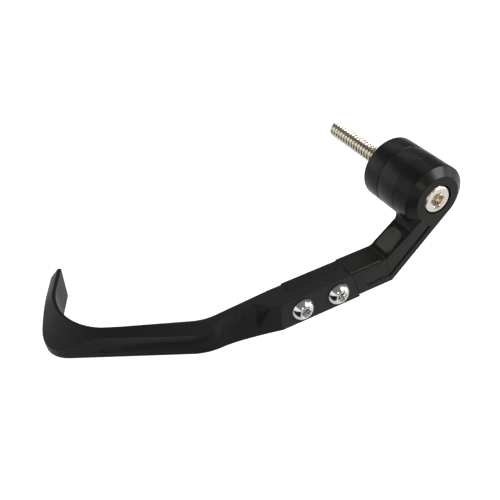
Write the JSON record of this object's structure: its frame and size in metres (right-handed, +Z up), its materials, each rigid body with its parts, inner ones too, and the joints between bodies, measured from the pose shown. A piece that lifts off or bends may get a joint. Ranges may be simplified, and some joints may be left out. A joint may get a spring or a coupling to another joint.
{
  "type": "handlebar lever guard",
  "caption": "Curved lever guard: a bar end bolt and its spacers carry a cranked arm, and a slim hooked blade is screwed to the arm's tongue.",
  "frame": {"origin": "on the bolt's axis, where the inner spacer seats on the bar end", "axes": "+X along the bolt into the handlebar, +Y forward from the bolt to the hook, +Z up"},
  "size_m": [0.0845, 0.1874, 0.0508],
  "materials": {
    "black_anodised": "black anodised, satin",
    "black_blade": "black anodised, satin",
    "bolt_steel": "bright zinc plated",
    "screw_steel": "polished stainless"
  },
  "bodies": {
    "root": {"inner_spacer": "black_anodised", "outer_spacer": "black_anodised", "mounting_arm": "black_anodised", "guard_blade": "black_blade", "bar_end_bolt": "bolt_steel", "rear_blade_screw": "screw_steel", "front_blade_screw": "screw_steel"}
  },
  "joints": []
}
